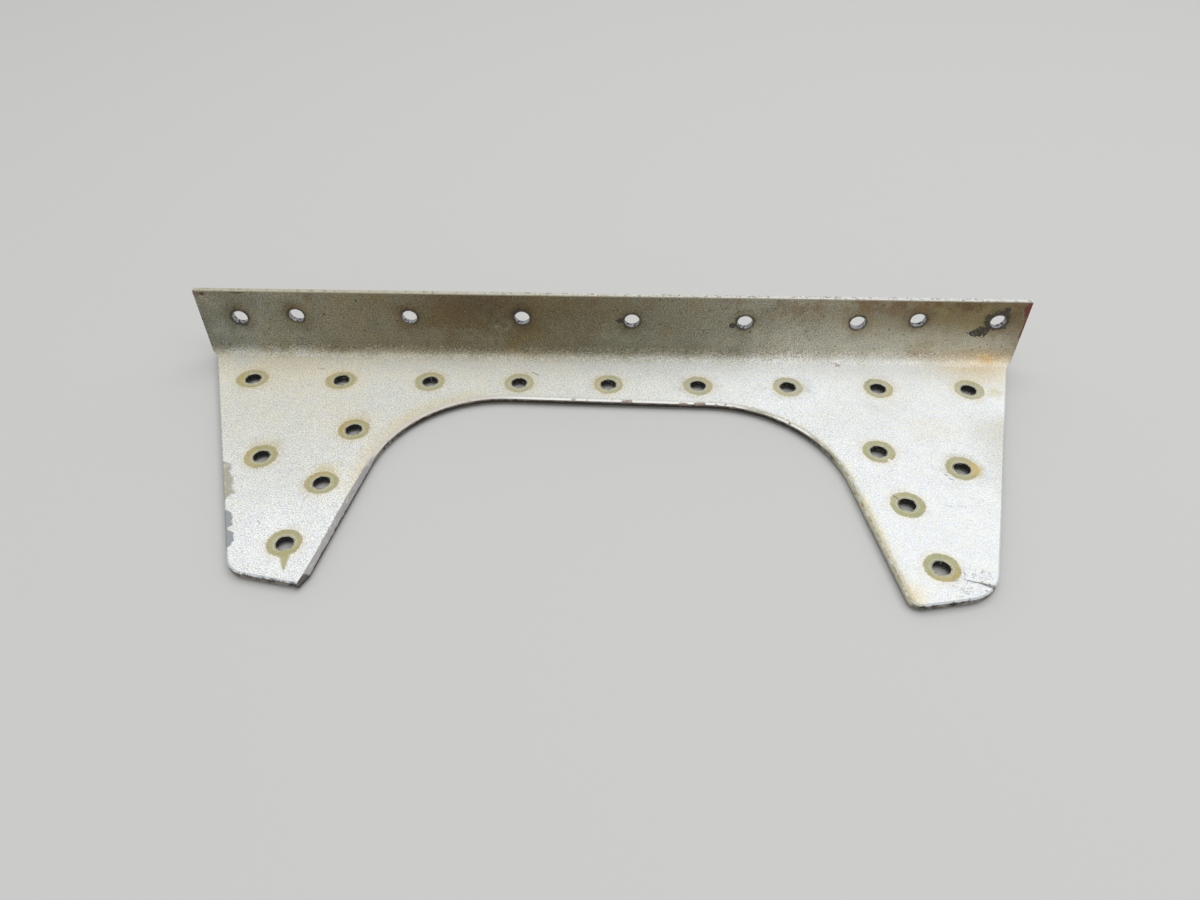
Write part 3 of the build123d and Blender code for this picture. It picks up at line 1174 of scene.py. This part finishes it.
STROKES = {
    Mark.DARK: (
        Stroke((62.2, -51.0), (64.6, -51.7), (0.10, 0.22), 0.85),
        Stroke((64.4, -51.6), (67.6, -52.8), (0.25, 0.75), 0.85),
        Stroke((65.0, -25.3), (65.4, -25.8), (0.14, 0.18), 0.7),
        Stroke((65.6, -26.5), (66.3, -26.9), (0.18, 0.14), 0.75),
        Stroke((68.4, -18.4), (69.0, -18.7), (0.14, 0.08), 0.6),
        Stroke((63.1, -33.5), (64.4, -33.9), (0.10, 0.12), 0.45),
        Stroke((65.4, -33.6), (67.0, -34.0), (0.12, 0.10), 0.4),
        Stroke((54.8, 2.0), (56.0, 2.7), (0.18, 0.12), 0.8),
        Stroke((55.7, 2.9), (56.6, 3.2), (0.15, 0.12), 0.65),
        Stroke((-16.5, 3.7), (-15.1, 2.7), (0.16, 0.14), 0.8),
        Stroke((53.9, -31.2), (54.6, -31.9), (0.18, 0.22), 0.75),
        Stroke((54.5, -32.0), (55.2, -32.4), (0.15, 0.15), 0.7),
        Stroke((-63.4, -40.6), (-62.7, -41.2), (0.2, 0.25), 0.35),
        Stroke((-62.9, 3.8), (-61.8, 3.7), (0.2, 0.3), 0.4),
        Stroke((49.6, 7.6), (50.2, 7.7), (0.35, 0.25), 0.6),
    ),
    Mark.LIGHT: (
        Stroke((55.2, -21.7), (55.6, -22.1), (0.42, 0.25), 0.85),
        Stroke((-22.8, 4.5), (-22.3, 4.5), (0.35, 0.30), 0.9),
    ),
    Mark.CHIP: (
        Stroke((3.1, -5.4), (4.7, -5.4), (0.45, 0.6), 0.9),
        Stroke((15.1, -5.7), (16.5, -5.75), (0.45, 0.35), 0.75),
        Stroke((18.2, -5.7), (20.0, -5.75), (0.4, 0.55), 0.9),
        Stroke((26.0, -6.5), (27.4, -7.0), (0.45, 0.3), 0.85),
        Stroke((31.9, -8.6), (32.9, -9.2), (0.35, 0.3), 0.6),
        Stroke((-7.5, -5.0), (-6.9, -5.0), (0.3, 0.25), 0.6),
    ),
}


@dataclass(frozen=True)
class Scratches(Finish):
    """Scratches, dents and chips on the web, drawn one by one, and specks on the right tip."""

    specks: Tint = Mark.DARK.value
    depth: float = 0.05
    right_tip: Patch = Patch(Wall.WEB, (64.0, -52.5, 0.0), (6.0, 5.5, 1.0))

    def lay(self) -> None:
        """Lays the scratches over what is there."""
        at, look = self.at, self.look
        for mark, strokes in STROKES.items():
            together = anywhere(at.stroke(stroke) for stroke in strokes)
            together = (together + at.fine * together.rise(0.0, 0.3)) & 1.0
            look.cover(at.web_face * together, mark.value, Sheen.SCRATCHED)
        specks = (at.fine + at.speckle * 0.4).rise(0.12, 0.18) * at.patch(self.right_tip).rise(0.0, 0.3)
        look.cover(at.web_face * specks * 0.75, self.specks, Sheen.DULL)
        look.lift(at.web_face * specks * -self.depth)


@dataclass(frozen=True)
class RedResidue(Finish):
    """Traces of dark red paint at the flange's ends, mostly on the right."""

    red: Tint = Tint(0.42, 0.15, 0.12)
    strength: float = 0.9
    right_corner: Patch = Patch(
        Wall.FOLDED, (BLANK.right_end, BLANK.flange_face, BLANK.flange_top - 1.8), (2.1, 2.0, 3.2)
    )
    left_corner: Patch = Patch(
        Wall.FOLDED, (BLANK.left_end + 0.8, BLANK.flange_face, BLANK.flange_top - 0.7), (1.3, 1.2, 0.9)
    )
    right_end: Ramp = Ramp(BLANK.right_end - 0.1, BLANK.right_end + 0.4)
    right_wall: Ramp = Ramp(85.0, 86.0)

    def lay(self) -> None:
        """Lays the residue over what is there."""
        at, look = self.at, self.look
        right_corner = at.patch(self.right_corner, at.ragged * 1.5).rise(0.2, 0.45)
        left_corner = at.patch(self.left_corner, at.ragged * 1.5).rise(0.3, 0.5) * 0.6
        broken = (at.mottle + at.ragged * 0.9 + at.z * 0.01).rise(0.02, 0.14)
        down_end = self.right_end.of(at.x + at.ragged * 2.2 + at.z * 0.04) * at.flange * broken
        wall = at.flange_wall * self.right_wall.of(at.x) * (at.ragged + at.z * 0.02).rise(0.1, 0.25)
        red = (right_corner | down_end | left_corner) * (1.0 - at.flange_edge) | wall
        look.cover(red * self.strength, self.red, Sheen.OLD_PAINT)


@dataclass(frozen=True)
class HiddenSide(Finish):
    """The underside and the flange's back: duller paint that lay against the skin, with faint prints."""

    dull: Tint = Tint(0.90, 0.885, 0.84)
    rim: Tint = Tint(0.62, 0.58, 0.48)
    print_edge: Ramp = Ramp(3.4, 1.9, 0.7)

    def lay(self) -> None:
        """Lays the dull film over the hidden side."""
        at, look = self.at, self.look
        look.stain(at.back * (0.8 + at.clouds * 2.0), self.dull)
        gap = at.graph.fade(at.flange, at.web_hole_gap, at.flange_hole_gap)
        look.stain(at.back * self.print_edge.of(gap + at.mottle * 1.5), self.rim)


class FoldedSheet:
    """The stiffener itself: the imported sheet, dressed in its paint and its wear."""

    WEAR = (Yellowing, FlangeGrime, RivetPrints, HoleDirt, WornEdges, Scratches)
    LAYERS = (*WEAR, HiddenSide, CutWalls, RedResidue)

    def __init__(self, node: bpy.types.Object, holes: list[Hole]) -> None:
        """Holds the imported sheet.

        Args:
            node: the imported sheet.
            holes: its rivet holes.
        """
        self.node = node
        self.holes = holes

    def dress(self) -> bpy.types.Material:
        """Gives the sheet its finish, layer by layer.

        Returns:
            The material.
        """
        graph = NodeGraph("aged_silver_paint")
        at = SheetPlaces(graph, self.holes)
        look = AgedPaint().lay(at)
        for layer in self.LAYERS:
            layer(at, look).lay()
        material = graph.surface(
            {
                "Base Color": look.colour,
                "Roughness": look.roughness,
                "Metallic": look.metallic,
                "Normal": graph.bump(look.relief),
            }
        )
        self.node.material_slots[0].material = material
        return material


@dataclass(frozen=True)
class HoleBurrs:
    """Low uneven rims of metal that the drill raised about the holes, in millimetres."""

    width: float = 0.2
    height: float = 0.055
    ridge: float = 0.08
    bite: float = 0.03
    sunk: float = 0.05
    outer_lip: float = 0.01
    inner_lip: float = 0.02
    steps: int = 40
    seed: int = 7
    level: float = 0.7
    swell: float = 0.35
    ripple: float = 0.12
    ripples: int = 9
    patch_size: float = 0.9
    bare: tuple[Tint, Tint] = (Tint(0.74, 0.73, 0.66), Tint(0.50, 0.48, 0.40))
    grimy: tuple[Tint, Tint] = (Tint(0.30, 0.27, 0.21), Tint(0.50, 0.48, 0.43))

    def build(self, holes: list[Hole]) -> bpy.types.Object:
        """Makes one piece of all the rims.

        Args:
            holes: the rivet holes that they stand about.

        Returns:
            The piece.
        """
        draw = Random(self.seed)
        mesh = bmesh.new()
        for hole in holes:
            self.spin_rim(mesh, hole, draw)
        bmesh.ops.recalc_face_normals(mesh, faces=mesh.faces)
        for face in mesh.faces:
            face.smooth = True
        piece = place_piece("hole_burrs", mesh)
        piece.data.transform(Matrix.Scale(MM, 4))
        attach(piece, SHEET_BODY)
        return piece

    def section(self, hole: Hole) -> list[tuple[float, float]]:
        """The rim's section.

        Args:
            hole: the hole that it stands about.

        Returns:
            Its corners, as distances from the hole's axis and heights above the sheet.
        """
        inner, outer = hole.radius - self.bite, hole.radius + self.width
        crest = (hole.radius + self.ridge, self.height)
        foot = [(inner, -self.sunk), (outer, -self.sunk)]
        return foot + [(outer, self.outer_lip), crest, (inner, self.inner_lip)]

    def spin_rim(self, mesh: bmesh.types.BMesh, hole: Hole, draw: Random) -> None:
        """Spins one rim about its hole, and makes it uneven.

        Args:
            mesh: the mesh that it goes into.
            hole: its hole.
            draw: the source of its unevenness.
        """
        older = set(mesh.verts)
        corners = [mesh.verts.new((radius, 0.0, height)) for radius, height in self.section(hole)]
        edges = [mesh.edges.new((a, b)) for a, b in zip(corners, corners[1:] + corners[:1])]
        full_turn = {"axis": (0, 0, 1), "cent": (0, 0, 0), "angle": 2 * pi, "use_merge": True}
        bmesh.ops.spin(mesh, geom=corners + edges, steps=self.steps, **full_turn)
        rim = [vert for vert in mesh.verts if vert not in older]
        phase, lobes = draw.uniform(0, 2 * pi), draw.randint(2, 4)
        for vert in rim:
            if vert.co.z > 0.0:
                turn = vert.co.xy.angle_signed(Vector((1, 0)))
                swell = self.swell * sin(lobes * turn + phase)
                vert.co.z *= self.level + swell + self.ripple * sin(self.ripples * turn + 2 * phase)
        bmesh.ops.transform(mesh, matrix=self.seat(hole), verts=rim)

    def seat(self, hole: Hole) -> Matrix:
        """Where a rim stands: on the web's upper face, or on the flange's inner face.

        Args:
            hole: its hole.

        Returns:
            The move from the origin to there.
        """
        if hole.in_flange:
            onto_face = Matrix.Rotation(pi / 2, 4, "X")
            return Matrix.Translation((hole.centre.x, BLANK.flange_face, hole.centre.z)) @ onto_face
        return Matrix.Translation((hole.centre.x, hole.centre.y, BLANK.sheet))

    def dress(self, piece: bpy.types.Object) -> None:
        """Gives the rims worn bare metal with grime in it.

        Args:
            piece: the rims.
        """
        graph = NodeGraph("worn_burr")
        point = graph.place()
        patchy = graph.noise(point, self.patch_size, 3.0, 0.6)
        worn = patchy.rise(-0.05, 0.12)
        on_flange = graph.split(point)[1].rise(8.0, 9.0)
        colour = graph.mix(on_flange, graph.mix(worn, *self.bare), graph.mix(worn, *self.grimy))
        material = graph.surface(
            {
                "Base Color": colour,
                "Roughness": 0.42 + patchy * 0.3,
                "Metallic": 0.4 + patchy,
                "Normal": graph.bump(graph.noise(point, 0.3) * 0.03),
            }
        )
        piece.data.materials.append(material)


@dataclass(frozen=True)
class SoftBox:
    """A large soft lamp, in metres and watts."""

    name: str
    place: Spot
    size: float
    power: float

    def build(self) -> None:
        """Hangs the lamp and turns it to the object."""
        lamp = bpy.data.lights.new(self.name, "AREA")
        lamp.size = self.size
        lamp.energy = self.power
        box = bpy.data.objects.new(self.name, lamp)
        box.location = self.place
        box.rotation_euler = Vector(self.place).to_track_quat("Z", "Y").to_euler()
        bpy.context.scene.collection.objects.link(box)


@dataclass(frozen=True)
class Studio:
    """A plain pale floor under plain soft light. Sizes are in metres."""

    floor_size: float = 6.0
    floor_gap: float = 0.0008
    floor_tint: Tint = Tint(0.80, 0.80, 0.795)
    floor_roughness: float = 0.9
    overhead: SoftBox = SoftBox("overhead_box", (0.13, 0.03, 0.78), 0.9, 4.1)
    sky_tint: Tint = Tint(1.0, 1.0, 1.0)
    sky_level: float = 0.55

    def build(self) -> None:
        """Makes the floor, the lamp and the sky."""
        finish = {"Base Color": self.floor_tint, "Roughness": self.floor_roughness}
        mesh = bmesh.new()
        bmesh.ops.create_grid(mesh, x_segments=1, y_segments=1, size=self.floor_size / 2)
        bmesh.ops.translate(mesh, vec=(0.0, 0.0, -self.floor_gap), verts=mesh.verts)
        floor = place_piece("floor", mesh)
        floor.data.materials.append(NodeGraph("pale_floor").surface(finish))
        self.overhead.build()
        world = bpy.data.worlds.new("pale_room")
        world.use_nodes = True
        sky = world.node_tree.nodes["Background"]
        sky.inputs["Color"].default_value = self.sky_tint.linear()
        sky.inputs["Strength"].default_value = self.sky_level
        bpy.context.scene.world = world


@dataclass(frozen=True)
class PhotoCamera:
    """A camera at the photograph's place and angle, in millimetres and degrees."""

    place: Spot = (1.99, -152.48, 127.64)
    turn: Spot = (46.30, 0.0, 1.42)
    lens: float = 27.81
    film_width: float = 36.0
    nearest: float = 5.0

    def build(self) -> None:
        """Makes the camera and gives it to the scene."""
        data = bpy.data.cameras.new("photo_camera")
        data.lens = self.lens
        data.sensor_width = self.film_width
        data.clip_start = self.nearest * MM
        camera = bpy.data.objects.new("photo_camera", data)
        camera.location = Vector(self.place) * MM
        camera.rotation_euler = [radians(angle) for angle in self.turn]
        bpy.context.scene.collection.objects.link(camera)
        bpy.context.scene.camera = camera


def main() -> None:
    """Dresses the sheet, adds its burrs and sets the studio."""
    logging.basicConfig(level=logging.INFO, format="%(message)s")
    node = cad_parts[SHEET_NODE]
    holes = HoleFinder(node).find()
    LOG.info("rivet holes found: %d", len(holes))
    material = FoldedSheet(node, holes).dress()
    LOG.info("%s: %s, %d nodes", node.name, material.name, len(material.node_tree.nodes))
    burrs = HoleBurrs()
    piece = burrs.build(holes)
    burrs.dress(piece)
    LOG.info("%s: %d faces", piece.name, len(piece.data.polygons))
    Studio().build()
    PhotoCamera().build()
    bpy.context.scene.view_settings.view_transform = "Standard"


if __name__ == "__main__":
    main()
